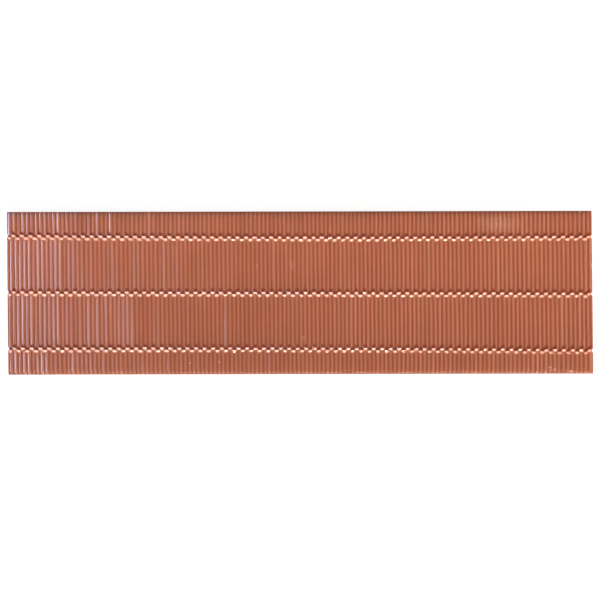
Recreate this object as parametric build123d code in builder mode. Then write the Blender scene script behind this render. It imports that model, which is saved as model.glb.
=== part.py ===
"""Reeded ceramic wall tile with a woven-look face, one pressed and fired piece.

Millimetres. +X runs along the tile, +Y across it, +Z out of the glazed face.
The origin is the middle of the back, on the plane that the back lands rest on.
"""

import os

from build123d import *

# Overall size
length = 360.0
width = 100.0
body_height = 8.0  # from the back lands to the bottom of the furrows between reeds

# Reeds: ribs that run across the tile, side by side along its length
reed_pitch = 2.65  # nominal, trued up so that whole pairs of reeds fill the length
reed_rise = 0.6  # from furrow to crest

# Rows where the reeds of one band end in knuckles, in front of the next band
first_row_inset = 16.1  # from the +Y edge to the first row's line
row_spacing = 34.5
last_row_margin = 8.0  # least room between a row's line and the -Y edge
row_stagger = 0.8  # each way from the row's line, reed by reed

# Knuckle: the raised end of a reed, with sizes along the reed unless they say otherwise
knuckle_rise = 0.5  # height above the crests of the reeds
knuckle_width = 0.5  # across the top
knuckle_run_in = 1.2  # from the reed's crest up to the top
knuckle_crest = 0.5
knuckle_fall = 0.8  # from the top down to the furrow level

# Edges
roll_width = 2.5  # bevel that rolls the face down to the long edges
roll_drop = 1.3
end_ease = 0.9  # bevel along the short edges of the face
corner_ease = 0.7  # bevel down the four corners

# Keying on the back: shallow round-ended grooves along the tile
key_depth = 0.8
key_width = 7.0
key_spacing = 14.0
key_margin = 9.0  # least plain land left all round

# Worked out from the sizes above
repeat_count = round(length / (2 * reed_pitch))
repeat_length = length / repeat_count
reed_step = repeat_length / 2
crest_height = body_height + reed_rise
face_height = crest_height + knuckle_rise
flank_run = (reed_step - knuckle_width) / 2 / (reed_rise + knuckle_rise)  # sideways, for each mm of height
reed_crest_width = reed_step - 2 * flank_run * reed_rise
row_count = int((width - first_row_inset - last_row_margin) / row_spacing) + 1
row_lines = [width / 2 - first_row_inset - row * row_spacing for row in range(row_count)]
reed_stop = row_stagger - knuckle_crest / 2  # the plain reeds end this far before the row's line
seat_depth = row_stagger + knuckle_crest / 2 + knuckle_fall  # from the row's line to the next band
band_starts = [width / 2] + [line - seat_depth for line in row_lines]
band_ends = [line + reed_stop for line in row_lines] + [-width / 2]
key_count = int((width - 2 * key_margin - key_width) / key_spacing) + 1


def reed_centres(band):
    """Centres of the reeds in one repeat; every other band is moved by half a reed."""
    if band % 2 == 0:
        return [-reed_step / 2, reed_step / 2]
    return [-reed_step, 0, reed_step]


def reed_points(centre):
    """Section of one reed, from its left furrow to the far side of its crest."""
    return [
        (centre - reed_step / 2, body_height),
        (centre - reed_crest_width / 2, crest_height),
        (centre + reed_crest_width / 2, crest_height),
    ]


# Knuckle: it rises between the reed's own flanks, carried on upward, and then falls steeply
with BuildPart() as knuckle:
    top_end = knuckle_crest / 2
    run_in_end = top_end + knuckle_run_in
    tail_end = run_in_end + 2 * row_stagger
    with BuildSketch(Plane.YZ):
        with BuildLine():
            Polyline(
                (tail_end, body_height),
                (tail_end, crest_height),
                (run_in_end, crest_height),
                (top_end, face_height),
                (-top_end, face_height),
                (-top_end - knuckle_fall, body_height),
                close=True,
            )
        make_face()
    extrude(amount=reed_step, both=True)
    with BuildSketch(Plane.XZ):
        with BuildLine():
            Polyline(
                (-reed_step / 2, body_height),
                (-knuckle_width / 2, face_height),
                (knuckle_width / 2, face_height),
                (reed_step / 2, body_height),
                close=True,
            )
        make_face()
    extrude(amount=width, both=True, mode=Mode.INTERSECT)

# One repeat: a strip two reeds wide, right across the tile
with BuildPart() as repeat:
    with BuildSketch():
        Rectangle(repeat_length, width)
    extrude(amount=body_height)
    for band, (start, end) in enumerate(zip(band_starts, band_ends)):
        centres = reed_centres(band)
        section = [point for centre in centres for point in reed_points(centre)]
        left, right = centres[0] - reed_step / 2, centres[-1] + reed_step / 2
        with BuildSketch(Plane.XZ.offset(-start)):
            with BuildLine():
                Polyline(*section, (right, body_height), (right, 0), (left, 0), close=True)
            make_face()
        extrude(amount=start - end)
    for row, line in enumerate(row_lines):
        spots = [
            (centre, line + row_stagger * (-1) ** reed)
            for reed, centre in enumerate(reed_centres(row))
        ]
        with Locations(*spots):
            add(knuckle.part)
    with BuildSketch():
        Rectangle(repeat_length, width)
    extrude(amount=face_height, mode=Mode.INTERSECT)

# Outer block: a face that rolls down to its long edges, eased ends and corners, and the keyed back
with BuildPart() as block:
    with BuildSketch(Plane.YZ):
        with BuildLine():
            Polyline(
                (-width / 2, 0),
                (width / 2, 0),
                (width / 2, face_height - roll_drop),
                (width / 2 - roll_width, face_height),
                (roll_width - width / 2, face_height),
                (-width / 2, face_height - roll_drop),
                close=True,
            )
        make_face()
    extrude(amount=length / 2, both=True)
    chamfer(block.edges().filter_by(Axis.Z), corner_ease)
    chamfer(block.faces().sort_by(Axis.Z)[-1].edges().filter_by(Axis.Y), end_ease)
    with BuildSketch():
        with GridLocations(0, key_spacing, 1, key_count):
            SlotOverall(length - 2 * key_margin, key_width)
    extrude(amount=key_depth, mode=Mode.SUBTRACT)

# Tile: the repeats side by side, cut to the outer block
with BuildPart() as tile:
    with GridLocations(repeat_length, 0, repeat_count, 1):
        add(repeat.part)
    add(block.part, mode=Mode.INTERSECT)

os.makedirs("parts", exist_ok=True)
tile.part.label = "tile"
export_step(tile.part, "parts/tile.step")
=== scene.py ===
"""Reeded terracotta tile: its glazed face, finish, light and camera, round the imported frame.

The scene is in metres. Sizes of the tile are millimetres, scaled by MM.
"""

from math import atan, cos, pi, radians, sin

import bpy
import numpy as np
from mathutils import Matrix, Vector


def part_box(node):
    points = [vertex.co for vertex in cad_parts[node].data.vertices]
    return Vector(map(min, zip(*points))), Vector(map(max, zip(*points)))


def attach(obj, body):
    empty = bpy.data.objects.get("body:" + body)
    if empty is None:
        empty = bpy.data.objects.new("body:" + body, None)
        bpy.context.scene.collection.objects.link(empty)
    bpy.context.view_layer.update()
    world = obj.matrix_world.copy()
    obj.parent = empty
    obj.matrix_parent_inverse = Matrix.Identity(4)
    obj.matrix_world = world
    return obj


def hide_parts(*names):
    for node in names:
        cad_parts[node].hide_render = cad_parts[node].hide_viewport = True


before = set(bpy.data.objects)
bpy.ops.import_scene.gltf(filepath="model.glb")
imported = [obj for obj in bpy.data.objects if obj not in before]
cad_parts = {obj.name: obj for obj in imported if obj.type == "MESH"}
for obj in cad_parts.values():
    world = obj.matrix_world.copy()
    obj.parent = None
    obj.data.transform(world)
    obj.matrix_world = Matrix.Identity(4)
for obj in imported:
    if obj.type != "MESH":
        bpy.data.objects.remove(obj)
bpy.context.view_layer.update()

MM = 0.001
SEED = 11

# Tile size: length and width come from the frame
tile_low, tile_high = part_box("tile")
LENGTH = (tile_high.x - tile_low.x) / MM
WIDTH = (tile_high.y - tile_low.y) / MM
BODY = 7.75  # from the back to the bottom of the furrows

# Reeds
REED_COUNT = 136
SPARE_REEDS = 3  # past each end, for the wander to bring in
REED_STEP = LENGTH / REED_COUNT
REED_RISE = 0.55
REED_RISE_SPREAD = 0.07  # share of the rise, reed by reed
REED_SHIFT_SPREAD = 0.07  # sideways, reed by reed
REED_LEAN_SPREAD = 0.05  # sideways, between the two ends of one reed
REED_WANDER = {"swing": 2.2, "peak": -106.0, "wave": 417.0}  # slow wander along the tile
BAND_SHIFTS = (-1.64, -0.6, -2.12, -1.24)  # sideways, band by band

# Rows of knuckles: line, and how far it strays at the -X end, the middle and the +X end
ROWS = [
    {"line": 34.5, "stray": (0.8, -0.7, -0.5)},
    {"line": 0.0, "stray": (0.6, -0.2, -1.0)},
    {"line": -34.5, "stray": (0.5, 0.2, -1.3)},
]
STRAY_REACH = 14.0  # the rows' stray dies out this far into the bands
KNUCKLE_WANDER = {"swing": 1.21, "peak": -97.0, "wave": 370.0}
KNUCKLE_SHIFT = -1.71
STAGGER = 0.73  # across the row, one way and the other in turn
STAGGER_SPREAD = 0.05

# Knuckle: its shape along the reeds, from a ramp by way of its top to a bright front
KNUCKLE_TOP = 1.31  # above the furrows
KNUCKLE_TOP_SPREAD = 0.015
KNUCKLE_TOP_LIMIT = 1.34
KNUCKLE_RAMP = 1.9  # length of the ramp
KNUCKLE_CREST = 0.08  # half of the length of the top
FRONT_SLOPE = 0.6
FRONT_RUN = {"upper": 1.2, "lower": 1.4}  # length of the front, before it runs out into the next band
KNUCKLE_FLAT = 0.91  # share of the width over which it keeps its height and place
KNUCKLE_DIP = 0.12  # share of its height that is lost at its sides
KNUCKLE_SQUARENESS = 6
REED_STOP = (0.1, -0.5)  # along the knuckle, where the reeds above it die out
REED_START = (-0.9, -2.2)  # and where the reeds below it grow
GLAZE_BLEND = 0.07  # rounding where forms meet

# Edges: how the face rolls down to them, and the share of the relief left at the long ones, with its fade
BACK_ROLL = {"drop": 1.0, "run": 6.0, "power": 2.6, "relief": 0.6, "fade": 1.5}
FRONT_ROLL = {"drop": 0.98, "run": 3.0, "power": 1.25, "relief": 0.5, "fade": 2.4}
END_ROLL = {"drop": 0.5, "run": 1.2, "power": 2}
ARRIS = 0.4  # between the sides and the face, and between the sides and the back
LEAN = 0.008  # the short edges stand this much out of square
NOTCH = 0.8  # nicks in the short edges at the rows
NOTCH_HALF = 0.9
NOTCH_REACH = 5.0

# Keying on the back
KEY_DEPTH = 0.8
KEY_DRAFT = 0.3  # how much narrower the groove's floor is on each side
KEY_END_DRAFT = 0.1  # and how much shorter still at each end
KEY_HALF = 3.5
KEY_SPACING = 14.0
KEY_COUNT = 6
KEY_MARGIN = 9.0
KEY_TURN = 30  # degrees between the points round a groove's end
BACK_INSET = 2.5  # from the edge of the back to the grid of the keying

# Mesh spacing
COLUMNS_PER_REED = 7
COLUMN_LEAD = 5  # columns that the wander is led by, to keep the columns near even places
COLUMN_END = 8.0  # the columns come back to even places this near the short edges
EDGE_ROWS = (0.0, 0.15, 0.5, 1.0, 1.8, 3.0, 4.6)
KNUCKLE_ROWS_ABOVE = (4.2, 3.2, 2.75, 2.4, 2.05, 1.7, 1.35, 1.05)  # from a row's line
KNUCKLE_ROWS_BELOW = (-2.3, -2.6, -3.2, -4.2)
KNUCKLE_ROW_GAP = 0.21  # between those
PLAIN_ROW_GAP = 15.0

# Glaze and clay: their colours, where they lie, and their shine
# Furrow and crest colours: glaze that is thicker in the furrows and thinner on the crests, deepened with
# painted shade in the furrows and painted light on the crests
FURROW_GLAZE_AND_SHADE = (0.212, 0.043, 0.0195)
CREST_GLAZE_AND_LIGHT = (0.414, 0.126, 0.059)
RAMP_SHADE_GLAZE = (0.315, 0.050, 0.0135)  # painted shade on the knuckles' ramps, which face away from the front lamp
RAMP_SHADE_REACH = (2.8, 1.2)  # along the knuckle, from where the painted shade on its ramp starts
CREST_LEVEL = 0.42  # of the relief, where the crests' colour, with its painted light, is reached
GLAZE_IOR = 1.36
GLAZE_ROUGHNESS = (0.15, 0.20)
CLAY = ((0.36, 0.17, 0.10), (0.46, 0.23, 0.14))
CLAY_ROUGHNESS = 0.9
GLAZE_LINE = (3.0, 4.8)  # height on the sides where the glaze ends
CLOUD_TINT = ((0.96, 0.95, 0.94), (1.04, 1.05, 1.06))
SCUFF = (0.60, 0.36, 0.27)
SCUFF_ROUGHNESS = 0.5
SCUFF_BREAK = (0.4, 1.4)  # how weak and strong the noise makes a scuff

# Noise textures: features in a metre, and how much finer detail they have
CLOUD_NOISE = {"scale": 45.0, "detail": 3.0}
CLAY_NOISE = {"scale": 900.0, "detail": 2.0}
LINE_NOISE = {"scale": 160.0, "detail": 3.0}
SATIN_NOISE = {"scale": 220.0, "detail": 3.0}
SCUFF_NOISE = {"scale": 700.0, "detail": 2.0}
SKIN_NOISE = {"scale": 1400.0, "detail": 2.0}
NOISE_RANGE = (0.3, 0.7)  # most of a noise texture lies between these
SKIN_BUMP = {"strength": 0.1, "depth": 0.04}

# Scuffs and specks in the glaze: place, half size and strength
MARKS = [
    {"place": (-4.8, 16.7), "half": (1.8, 4.0), "strength": 0.18},
    {"place": (2.0, -27.6), "half": (1.6, 3.0), "strength": 0.22},
    {"place": (121.6, 42.0), "half": (16.0, 7.0), "strength": 0.25},
    {"place": (-27.6, 46.9), "half": (0.7, 1.2), "strength": 0.4},
    {"place": (-26.3, 16.1), "half": (0.6, 2.2), "strength": 0.5},
    {"place": (-59.6, 13.0), "half": (0.6, 1.2), "strength": 0.4},
    {"place": (-67.6, -43.0), "half": (0.8, 0.8), "strength": 0.8},
    {"place": (-49.7, -42.3), "half": (0.8, 0.8), "strength": 0.8},
    {"place": (171.8, 49.4), "half": (1.0, 1.0), "strength": 1.0},
    {"place": (153.3, -46.2), "half": (1.6, 1.0), "strength": 0.9},
    {"place": (156.4, -47.3), "half": (1.2, 1.0), "strength": 0.9},
    {"place": (166.3, -48.5), "half": (1.6, 0.9), "strength": 0.9},
    {"place": (179.4, 16.1), "half": (0.9, 3.0), "strength": 0.9},
]

# Light: a long low lamp on the -Y side, a panel on the +X side and a small cool lamp on the -X side.
# The first and the last give diffuse light only, and each has a partner seen in reflections only.
WORLD_LIGHT = 0.34  # soft light from all round
FRONT_LAMP = {
    "distance": 2.0, "rise": 28, "aim": (0, 0.45, 0), "size": (1.6, 0.1), "spread": 18,
    "power": 4.9, "colour": (1.0, 0.96, 0.9),
}
GLOSS_LAMP = {  # the front lamp's partner
    "distance": 2.0, "rise": 29.4, "aim": (0, 0, 0), "size": (1.6, 0.28), "spread": 180,
    "power": 56.0, "colour": (1.0, 0.91, 0.78),
}
SIDE_LAMP = {
    "distance": 0.95, "rise": 18.4, "aim": (0, 0, 0), "size": (0.9, 0.3), "spread": 180,
    "power": 6.4, "colour": (1.0, 0.94, 0.83),
}
LEFT_LAMP = {
    "place": (-0.60, 0.0, 0.12), "aim": (-0.1, 0.0, 0.0), "size": (0.3, 0.1), "spread": 180,
    "power": 0.8, "colour": (0.70, 0.83, 1.0),
}
WINDOW = {  # the left lamp's partner
    "place": (-0.40, 0.0, 0.155), "aim": (-0.15, 0.0, 0.0), "size": (0.55, 0.08), "spread": 180,
    "power": 5.2, "colour": (0.43, 0.66, 1.0),
}

# Floor: its colour, and to the camera and in reflections a darker one with a glow that makes it white
FLOOR_COLOUR = (0.9, 0.9, 0.9)
FLOOR_SHADE = (0.25, 0.25, 0.25)
FLOOR_GLOW = 0.88
FLOOR_HALF = 3.0
FLOOR_GAP = 0.0001

# Camera: straight above, framed as the photograph
CAMERA_HEIGHT = 1.5
CAMERA_SHIFT_Y = -0.00443
FRAME_SIDE = 0.3680
CAMERA_ROLL = -0.002

# Sockets of a mix node, by what it mixes
NUMBER_INPUTS = (2, 3)
COLOUR_INPUTS = (6, 7)
COLOUR_OUTPUT = 2

random = np.random.default_rng(SEED)


def smooth_step(start, end, value):
    """0 at start, 1 at end, an even S in between; start may be the higher one."""
    share = np.clip((value - start) / (end - start), 0, 1)
    return share * share * (3 - 2 * share)


def soft_max(first, second):
    """The higher of two surfaces, with the join rounded."""
    return (first + second + np.sqrt((first - second) ** 2 + GLAZE_BLEND**2)) / 2


def wander(x, path):
    """Slow sideways wander along the tile."""
    return path["swing"] * np.cos(2 * pi * (x - path["peak"]) / path["wave"])


def row_stray(row, x):
    """How far a row's line strays from straight: a parabola through its three places."""
    left, middle, right = row["stray"]
    along = 2 * x / LENGTH
    return middle + along * (right - left) / 2 + along**2 * ((left + right) / 2 - middle)


def reed_numbers():
    """Numbers of the reeds or knuckles, counted from the tile's middle, with some to spare at both ends."""
    spare = REED_COUNT // 2 + SPARE_REEDS
    return np.arange(-spare, spare + 1)


def make_band(shift):
    """Furrow places at both ends of a band's reeds, and the rise of each reed."""
    even = np.append(reed_numbers() - 0.5, reed_numbers()[-1] + 0.5) * REED_STEP
    middle = even + shift + wander(even, REED_WANDER) + random.normal(0, REED_SHIFT_SPREAD, len(even))
    lean = random.normal(0, REED_LEAN_SPREAD, len(even))
    rise = REED_RISE * random.normal(1, REED_RISE_SPREAD, len(even) - 1)
    return {"start": middle - lean, "end": middle + lean, "rise": rise}


def make_knuckles():
    """Centre, place across the row, height and length of front of each knuckle of a row."""
    numbers = reed_numbers()
    even = numbers * REED_STEP
    side = np.where(numbers % 2 == 0, 1, -1)
    place = side * STAGGER + random.normal(0, STAGGER_SPREAD, len(even))
    top = np.minimum(random.normal(KNUCKLE_TOP, KNUCKLE_TOP_SPREAD, len(even)), KNUCKLE_TOP_LIMIT)
    run = np.where(side > 0, FRONT_RUN["upper"], FRONT_RUN["lower"])
    centre = even + KNUCKLE_SHIFT + wander(even, KNUCKLE_WANDER)
    return {"centre": centre, "place": place, "top": top, "run": run}


bands = [make_band(shift) for shift in BAND_SHIFTS]
knuckle_rows = [make_knuckles() for _ in ROWS]


def reed_height(band, share, x):
    """Height of a band's reeds above the furrows; share runs from their start to their end."""
    furrows = band["start"] * (1 - share) + band["end"] * share
    reed = np.clip(np.searchsorted(furrows, x) - 1, 0, len(furrows) - 2)
    across = np.clip((x - furrows[reed]) / (furrows[reed + 1] - furrows[reed]), 0, 1)
    return band["rise"][reed] * np.sin(pi * across)


def across_knuckles(knuckles, x):
    """Place, height and length of front of the knuckle that each x falls on."""
    flat = KNUCKLE_FLAT * REED_STEP / 2
    corners = np.stack([knuckles["centre"] - flat, knuckles["centre"] + flat], axis=1).reshape(-1)
    place = np.interp(x, corners, np.repeat(knuckles["place"], 2))
    top = np.interp(x, corners, np.repeat(knuckles["top"], 2))
    run = np.interp(x, corners, np.repeat(knuckles["run"], 2))
    nearest = np.abs(x[:, None] - knuckles["centre"][None, :]).min(axis=1)
    sides = np.clip(2 * nearest / REED_STEP, 0, 1) ** KNUCKLE_SQUARENESS
    return place, top * (1 - KNUCKLE_DIP * sides), run


def knuckle_height(along, top, run):
    """Height of the knuckles: a ramp, a narrow top, a straight front, and a tail that runs out."""
    ramp = np.clip((KNUCKLE_CREST + KNUCKLE_RAMP - along) / KNUCKLE_RAMP, 0, 1)
    past = np.maximum(-along - KNUCKLE_CREST, 0)
    foot = top - FRONT_SLOPE * run
    tail = foot * np.exp(-FRONT_SLOPE * (past - run) / foot)
    front = np.where(past < run, top - FRONT_SLOPE * past, tail)
    return np.where(past > 0, front, top * ramp)


def relief_at(y, x):
    """Height of the face above the furrows, and how much painted shade lies there, along one mesh row."""
    lines = [row["line"] for row in ROWS]
    edges = [WIDTH / 2] + lines + [-WIDTH / 2]
    nearest = int(np.argmin([abs(y - line) for line in lines]))
    upper_share = np.clip((edges[nearest] - y) / (edges[nearest] - edges[nearest + 1]), 0, 1)
    lower_share = np.clip((edges[nearest + 1] - y) / (edges[nearest + 1] - edges[nearest + 2]), 0, 1)
    place, top, run = across_knuckles(knuckle_rows[nearest], x)
    along = y - lines[nearest] - place
    above = reed_height(bands[nearest], upper_share, x) * smooth_step(REED_STOP[1], REED_STOP[0], along)
    below = reed_height(bands[nearest + 1], lower_share, x) * smooth_step(*REED_START, along)
    # painted shade on each knuckle's ramp, where the face tilts away from the front lamp
    ramp_shade = smooth_step(*RAMP_SHADE_REACH, along) * smooth_step(-KNUCKLE_CREST, KNUCKLE_CREST, along)
    return soft_max(above + below, knuckle_height(along, top, run)), ramp_shade


def mesh_rows():
    """Places of the mesh rows across the tile: close at the edges and the knuckles."""
    half = WIDTH / 2
    places = {half - inset for inset in EDGE_ROWS} | {inset - half for inset in EDGE_ROWS}
    steps = round((KNUCKLE_ROWS_ABOVE[-1] - KNUCKLE_ROWS_BELOW[0]) / KNUCKLE_ROW_GAP)
    close = np.linspace(KNUCKLE_ROWS_ABOVE[-1], KNUCKLE_ROWS_BELOW[0], steps + 1)[1:-1]
    for row in ROWS:
        places |= {row["line"] + step for step in (*KNUCKLE_ROWS_ABOVE, *close, *KNUCKLE_ROWS_BELOW)}
    places = sorted(places, reverse=True)
    rows = []
    for here, after in zip(places, places[1:]):
        parts = max(1, round((here - after) / PLAIN_ROW_GAP))
        rows += [here + (after - here) * part / parts for part in range(parts)]
    return rows + [places[-1]]


def mesh_columns():
    """Places of the mesh columns along the tile, in step with the knuckles."""
    even = np.linspace(-LENGTH / 2, LENGTH / 2, REED_COUNT * COLUMNS_PER_REED + 1)
    shift = KNUCKLE_SHIFT + wander(even, KNUCKLE_WANDER) + COLUMN_LEAD * REED_STEP / COLUMNS_PER_REED
    return even + shift * smooth_step(0, COLUMN_END, LENGTH / 2 - np.abs(even))


def face_points():
    """The glazed face as a grid of points, with each one's level in the relief and its painted shade on the
    knuckles' ramps.
    """
    points, relief, ramp_shades = [], [], []
    x = mesh_columns()
    end_gap = LENGTH / 2 - np.abs(x)
    for y in mesh_rows():
        height, ramp_shade = relief_at(y, x)
        side_gap = WIDTH / 2 - abs(y)
        edge = BACK_ROLL if y > 0 else FRONT_ROLL
        roll = edge["drop"] * max(1 - side_gap / edge["run"], 0) ** edge["power"]
        end_roll = END_ROLL["drop"] * np.clip(1 - end_gap / END_ROLL["run"], 0, 1) ** END_ROLL["power"]
        moved_y = np.full_like(x, y)
        squeeze = np.zeros_like(x)
        for row in ROWS:
            away = abs(y - row["line"])
            moved_y += row_stray(row, x) * (1 - smooth_step(0, STRAY_REACH, away))
            notch = NOTCH * np.exp(-((away / NOTCH_HALF) ** 2))
            squeeze += notch * smooth_step(NOTCH_REACH, 0, end_gap)
        moved_x = x * (1 - LEAN * WIDTH / LENGTH) - LEAN * y - np.sign(x) * squeeze
        height = height * (edge["relief"] + (1 - edge["relief"]) * smooth_step(0, edge["fade"], side_gap))
        points.append(np.stack([moved_x, moved_y, BODY + height - roll - end_roll], axis=1))
        relief.append(height / KNUCKLE_TOP)
        ramp_shades.append(ramp_shade)
    return np.array(points), {"relief": np.array(relief), "ramp_shade": np.array(ramp_shades)}


def back_points():
    """The keyed back as a grid: rows across the tile, columns that follow the groove ends."""
    end = LENGTH / 2 - BACK_INSET
    side = WIDTH / 2 - BACK_INSET
    centre_end = LENGTH / 2 - KEY_MARGIN - KEY_HALF
    floor_half = KEY_HALF - KEY_DRAFT
    rows = [(side, 0.0, KEY_HALF)]
    for key in reversed(range(KEY_COUNT)):
        centre = (key - (KEY_COUNT - 1) / 2) * KEY_SPACING
        rows.append((centre + KEY_HALF, 0.0, KEY_HALF))
        for turn in range(90, -91, -KEY_TURN):
            across = floor_half * sin(radians(turn))
            rows.append((centre + across, KEY_DEPTH, across))
        rows.append((centre - KEY_HALF, 0.0, KEY_HALF))
    rows.append((-side, 0.0, KEY_HALF))
    points = []
    for y, depth, across in rows:
        rim = centre_end + max(KEY_HALF**2 - across**2, 0) ** 0.5
        foot = centre_end + max(floor_half**2 - across**2, 0) ** 0.5 - KEY_END_DRAFT
        across_x = [-end, -rim, -foot, foot, rim, end]
        heights = [0, 0, depth, depth, 0, 0]
        points.append([(x - LEAN * y, y, z) for x, z in zip(across_x, heights)])
    return np.array(points)


def border(rows, columns, first):
    """Indices round a grid's four sides, anticlockwise from its -X -Y corner, side by side."""
    at = np.arange(rows * columns).reshape(rows, columns) + first
    return [list(at[-1]), list(at[::-1, -1]), list(at[0, ::-1]), list(at[:, 0])]


def grid_faces(rows, columns, first, flip):
    """Four-sided faces of a grid."""
    at = np.arange(rows * columns).reshape(rows, columns) + first
    quads = np.stack([at[1:, :-1], at[1:, 1:], at[:-1, 1:], at[:-1, :-1]], axis=-1).reshape(-1, 4)
    return (quads[:, ::-1] if flip else quads).tolist()


def stitch(outer, inner, places):
    """Triangles between two lines of points that run side by side with different spacing."""
    def shares(line):
        steps = np.linalg.norm(np.diff(places[line], axis=0), axis=1)
        return np.concatenate([[0], np.cumsum(steps)]) / steps.sum()

    outer_share, inner_share = shares(outer), shares(inner)
    faces, here, there = [], 0, 0
    while here < len(outer) - 1 or there < len(inner) - 1:
        step_outer = there == len(inner) - 1 or (
            here < len(outer) - 1 and outer_share[here + 1] <= inner_share[there + 1]
        )
        if step_outer:
            faces.append([outer[here], inner[there], outer[here + 1]])
            here += 1
        else:
            faces.append([outer[here], inner[there], inner[there + 1]])
            there += 1
    return faces


def side_rings(rim):
    """Rings of points down the sides: below the face's edge, above the back's arris, and round the back."""
    below_face = rim.copy()
    below_face[:, 2] -= ARRIS
    above_back = rim.copy()
    above_back[:, 2] = ARRIS
    back = rim * (1 - 2 * ARRIS / LENGTH, 1 - 2 * ARRIS / WIDTH, 0)
    return [below_face, above_back, back]


def make_tile():
    """The whole tile as one closed mesh: face, sides and keyed back."""
    face, levels = face_points()
    rows, columns = face.shape[:2]
    points = [face.reshape(-1, 3)]
    faces = grid_faces(rows, columns, 0, False)
    sides = border(rows, columns, 0)
    above = [index for side in sides for index in side[:-1]]
    count = len(points[0])
    for ring in side_rings(points[0][above]):
        below = list(range(count, count + len(ring)))
        for here in range(len(ring)):
            after = (here + 1) % len(ring)
            faces.append([above[here], below[here], below[after], above[after]])
        points.append(ring)
        count += len(ring)
        above = below
    smooth_count = len(faces)
    back = back_points()
    back_rows, back_columns = back.shape[:2]
    points.append(back.reshape(-1, 3))
    places = np.concatenate(points)
    faces += grid_faces(back_rows, back_columns, count, True)
    start = 0
    for side, inner in zip(sides, border(back_rows, back_columns, count)):
        steps = len(side) - 1
        outer = [above[(start + step) % len(above)] for step in range(steps + 1)]
        faces += stitch(outer, inner, places)
        start += steps
    mesh = bpy.data.meshes.new("glazed_tile")
    mesh.from_pydata((places * MM).tolist(), [], faces)
    mesh.polygons.foreach_set("use_smooth", [index < smooth_count for index in range(len(faces))])
    for name, level in levels.items():
        values = np.zeros(len(places), np.float32)
        values[: level.size] = level.reshape(-1)
        mesh.attributes.new(name, "FLOAT", "POINT").data.foreach_set("value", values)
    mesh.validate()
    tile = bpy.data.objects.new("glazed_tile", mesh)
    bpy.context.collection.objects.link(tile)
    return tile


def new_material(name):
    """An empty node material, with its nodes and its output."""
    material = bpy.data.materials.new(name)
    material.use_nodes = True
    nodes = material.node_tree.nodes
    nodes.clear()
    return material, nodes, material.node_tree.links, nodes.new("ShaderNodeOutputMaterial")


def calculate(nodes, links, operation, first, second, clamp=False):
    """The output of a sum, product or other operation on two outputs or numbers."""
    node = nodes.new("ShaderNodeMath")
    node.operation = operation
    node.use_clamp = clamp
    for socket, value in zip(node.inputs, (first, second)):
        if isinstance(value, (int, float)):
            socket.default_value = value
        else:
            links.new(value, socket)
    return node.outputs[0]


def noise(nodes, links, where, pattern):
    """A noise texture on object coordinates."""
    texture = nodes.new("ShaderNodeTexNoise")
    texture.inputs["Scale"].default_value = pattern["scale"]
    texture.inputs["Detail"].default_value = pattern["detail"]
    links.new(where, texture.inputs["Vector"])
    return texture.outputs["Fac"]


def spread(nodes, links, value, low, high, span=NOISE_RANGE):
    """A value, by default of a noise texture, spread from its span to between low and high."""
    node = nodes.new("ShaderNodeMapRange")
    node.inputs["From Min"].default_value = span[0]
    node.inputs["From Max"].default_value = span[1]
    node.inputs["To Min"].default_value = low
    node.inputs["To Max"].default_value = high
    links.new(value, node.inputs["Value"])
    return node.outputs["Result"]


def mix_colour(nodes, links, share, first, second, blend="MIX"):
    """One colour output from two colours or outputs."""
    node = nodes.new("ShaderNodeMix")
    node.data_type = "RGBA"
    node.blend_type = blend
    sockets = [node.inputs[index] for index in COLOUR_INPUTS]
    for socket, colour in zip(sockets, (first, second)):
        if isinstance(colour, tuple):
            socket.default_value = (*colour, 1)
        else:
            links.new(colour, socket)
    if isinstance(share, float):
        node.inputs[0].default_value = share
    else:
        links.new(share, node.inputs[0])
    return node.outputs[COLOUR_OUTPUT]


def mix_number(nodes, links, share, first, second):
    """A number between two outputs or numbers."""
    node = nodes.new("ShaderNodeMix")
    links.new(share, node.inputs[0])
    sockets = [node.inputs[index] for index in NUMBER_INPUTS]
    for socket, value in zip(sockets, (first, second)):
        if isinstance(value, float):
            socket.default_value = value
        else:
            links.new(value, socket)
    return node.outputs[0]


def scuffs(nodes, links, where):
    """How much each point is scuffed: soft spots at the marks' places, broken up by a fine noise."""
    total = 0.0
    for mark in MARKS:
        mapping = nodes.new("ShaderNodeMapping")
        mapping.vector_type = "TEXTURE"
        mapping.inputs["Location"].default_value = (mark["place"][0] * MM, mark["place"][1] * MM, 0)
        mapping.inputs["Scale"].default_value = (mark["half"][0] * MM, mark["half"][1] * MM, 1)
        links.new(where, mapping.inputs["Vector"])
        spot = nodes.new("ShaderNodeTexGradient")
        spot.gradient_type = "SPHERICAL"
        links.new(mapping.outputs["Vector"], spot.inputs["Vector"])
        scuff = calculate(nodes, links, "MULTIPLY", spot.outputs["Fac"], mark["strength"])
        total = calculate(nodes, links, "ADD", scuff, total)
    broken = spread(nodes, links, noise(nodes, links, where, SCUFF_NOISE), *SCUFF_BREAK)
    return calculate(nodes, links, "MULTIPLY", total, broken, clamp=True)


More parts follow.
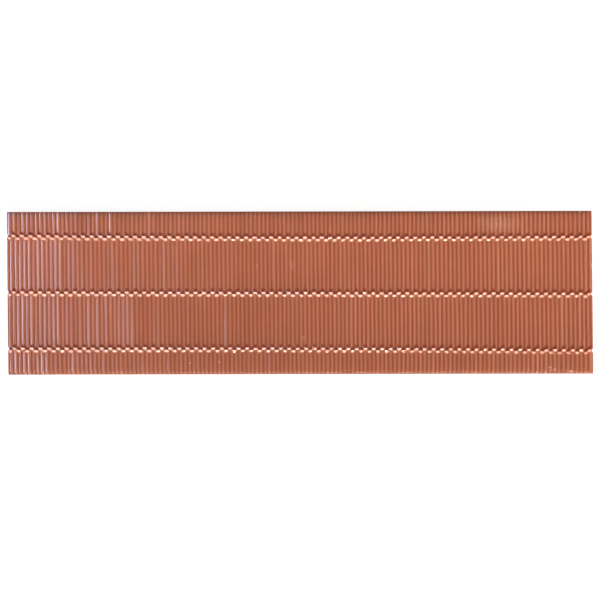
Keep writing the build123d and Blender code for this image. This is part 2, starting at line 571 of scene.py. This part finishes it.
def glaze_material():
    """Terracotta glaze over a red clay body that shows bare low on the sides and on the back."""
    material, nodes, links, output = new_material("terracotta_glaze")
    shader = nodes.new("ShaderNodeBsdfPrincipled")
    shader.inputs["IOR"].default_value = GLAZE_IOR
    links.new(shader.outputs["BSDF"], output.inputs["Surface"])
    where = nodes.new("ShaderNodeTexCoord").outputs["Object"]

    relief, ramp_shade = (nodes.new("ShaderNodeAttribute") for _ in range(2))
    relief.attribute_name = "relief"
    ramp_shade.attribute_name = "ramp_shade"
    level = spread(nodes, links, relief.outputs["Fac"], 0.0, 1.0, (0.0, CREST_LEVEL))
    cloud = spread(nodes, links, noise(nodes, links, where, CLOUD_NOISE), 0.0, 1.0)
    tint = mix_colour(nodes, links, cloud, *CLOUD_TINT)
    # painted shade in the furrows and painted light on the crests, by height in the relief, on top of the
    # glaze's thicker and thinner places
    glaze = mix_colour(nodes, links, level, FURROW_GLAZE_AND_SHADE, CREST_GLAZE_AND_LIGHT)
    # painted shade on the knuckles' ramps
    glaze = mix_colour(nodes, links, ramp_shade.outputs["Fac"], glaze, RAMP_SHADE_GLAZE)
    glaze = mix_colour(nodes, links, 1.0, glaze, tint, "MULTIPLY")
    scuffed = scuffs(nodes, links, where)
    glaze = mix_colour(nodes, links, scuffed, glaze, SCUFF)
    grain = spread(nodes, links, noise(nodes, links, where, CLAY_NOISE), 0.0, 1.0)
    clay = mix_colour(nodes, links, grain, *CLAY)

    height = nodes.new("ShaderNodeSeparateXYZ")
    links.new(where, height.inputs["Vector"])
    line_low, line_high = (limit * MM for limit in GLAZE_LINE)
    line = spread(nodes, links, noise(nodes, links, where, LINE_NOISE), line_low, line_high)
    glazed = calculate(nodes, links, "GREATER_THAN", height.outputs["Z"], line)
    links.new(mix_colour(nodes, links, glazed, clay, glaze), shader.inputs["Base Color"])

    satin = spread(nodes, links, noise(nodes, links, where, SATIN_NOISE), *GLAZE_ROUGHNESS)
    satin = mix_number(nodes, links, scuffed, satin, SCUFF_ROUGHNESS)
    links.new(mix_number(nodes, links, glazed, CLAY_ROUGHNESS, satin), shader.inputs["Roughness"])

    bump = nodes.new("ShaderNodeBump")
    bump.inputs["Strength"].default_value = SKIN_BUMP["strength"]
    bump.inputs["Distance"].default_value = SKIN_BUMP["depth"] * MM
    links.new(noise(nodes, links, where, SKIN_NOISE), bump.inputs["Height"])
    links.new(bump.outputs["Normal"], shader.inputs["Normal"])
    return material


def backdrop_share(nodes, links):
    """1 for rays that show the backdrop itself: to the camera, in reflections and through glass."""
    path = nodes.new("ShaderNodeLightPath")
    seen = calculate(nodes, links, "ADD", path.outputs["Is Camera Ray"], path.outputs["Is Glossy Ray"])
    return calculate(nodes, links, "ADD", seen, path.outputs["Is Transmission Ray"], clamp=True)


def floor_material():
    """White floor: it lights the tile's sides, takes its shadow, and reads white to the camera."""
    material, nodes, links, output = new_material("white_floor")
    seen = backdrop_share(nodes, links)
    diffuse = nodes.new("ShaderNodeBsdfDiffuse")
    links.new(mix_colour(nodes, links, seen, FLOOR_COLOUR, FLOOR_SHADE), diffuse.inputs["Color"])
    glow = nodes.new("ShaderNodeEmission")
    links.new(calculate(nodes, links, "MULTIPLY", seen, FLOOR_GLOW), glow.inputs["Strength"])
    both = nodes.new("ShaderNodeAddShader")
    links.new(diffuse.outputs[0], both.inputs[0])
    links.new(glow.outputs[0], both.inputs[1])
    links.new(both.outputs[0], output.inputs["Surface"])
    return material


def make_floor():
    """A plain floor just under the tile's back."""
    sides = ((-1, -1), (1, -1), (1, 1), (-1, 1))
    corners = [(x * FLOOR_HALF, y * FLOOR_HALF, -FLOOR_GAP) for x, y in sides]
    mesh = bpy.data.meshes.new("floor")
    mesh.from_pydata(corners, [], [(0, 1, 2, 3)])
    mesh.materials.append(floor_material())
    floor = bpy.data.objects.new("floor", mesh)
    bpy.context.collection.objects.link(floor)
    return floor


def make_world():
    """Even soft light from all round, white to the camera and in reflections."""
    world = bpy.data.worlds.new("studio")
    world.use_nodes = True
    nodes, links = world.node_tree.nodes, world.node_tree.links
    background = nodes["Background"]
    background.inputs["Color"].default_value = (1, 1, 1, 1)
    level = spread(nodes, links, backdrop_share(nodes, links), WORLD_LIGHT, 1.0, (0.0, 1.0))
    links.new(level, background.inputs["Strength"])
    bpy.context.scene.world = world


def area_light(name, place, lamp):
    """A soft rectangular lamp, aimed at a point."""
    light = bpy.data.lights.new(name, "AREA")
    light.shape = "RECTANGLE"
    light.size, light.size_y = lamp["size"]
    light.spread = radians(lamp["spread"])
    light.energy = lamp["power"]
    light.color = lamp["colour"]
    lamp_object = bpy.data.objects.new(name, light)
    lamp_object.location = place
    direction = Vector(lamp["aim"]) - Vector(place)
    lamp_object.rotation_euler = direction.to_track_quat("-Z", "Y").to_euler()
    lamp_object.visible_camera = False
    bpy.context.collection.objects.link(lamp_object)
    return lamp_object


def studio_lamp(name, towards, lamp):
    """A lamp on one side of the tile, at its distance and rise from the tile's middle."""
    out = lamp["distance"] * cos(radians(lamp["rise"]))
    up = lamp["distance"] * sin(radians(lamp["rise"]))
    return area_light(name, (towards[0] * out, towards[1] * out, up), lamp)


def make_lights():
    """The lamps, and the soft light from all round."""
    front = studio_lamp("front", (0, -1), FRONT_LAMP)
    front.visible_glossy = False
    gloss = studio_lamp("front_gloss", (0, -1), GLOSS_LAMP)
    gloss.visible_diffuse = False
    studio_lamp("side", (1, 0), SIDE_LAMP)
    left = area_light("left", LEFT_LAMP["place"], LEFT_LAMP)
    left.visible_glossy = False
    window = area_light("window", WINDOW["place"], WINDOW)
    window.visible_diffuse = False
    make_world()


def make_camera():
    """A camera straight above the tile."""
    camera = bpy.data.cameras.new("camera")
    camera.angle = 2 * atan(FRAME_SIDE / 2 / (CAMERA_HEIGHT - tile_high.z))
    camera_object = bpy.data.objects.new("camera", camera)
    camera_object.location = (0, CAMERA_SHIFT_Y, CAMERA_HEIGHT)
    camera_object.rotation_euler = (0, 0, CAMERA_ROLL)
    bpy.context.collection.objects.link(camera_object)
    bpy.context.scene.camera = camera_object


tile = make_tile()
tile.data.materials.append(glaze_material())
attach(tile, "root")
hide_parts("tile")

floor = make_floor()
make_lights()
make_camera()
bpy.context.scene.view_settings.view_transform = "Standard"
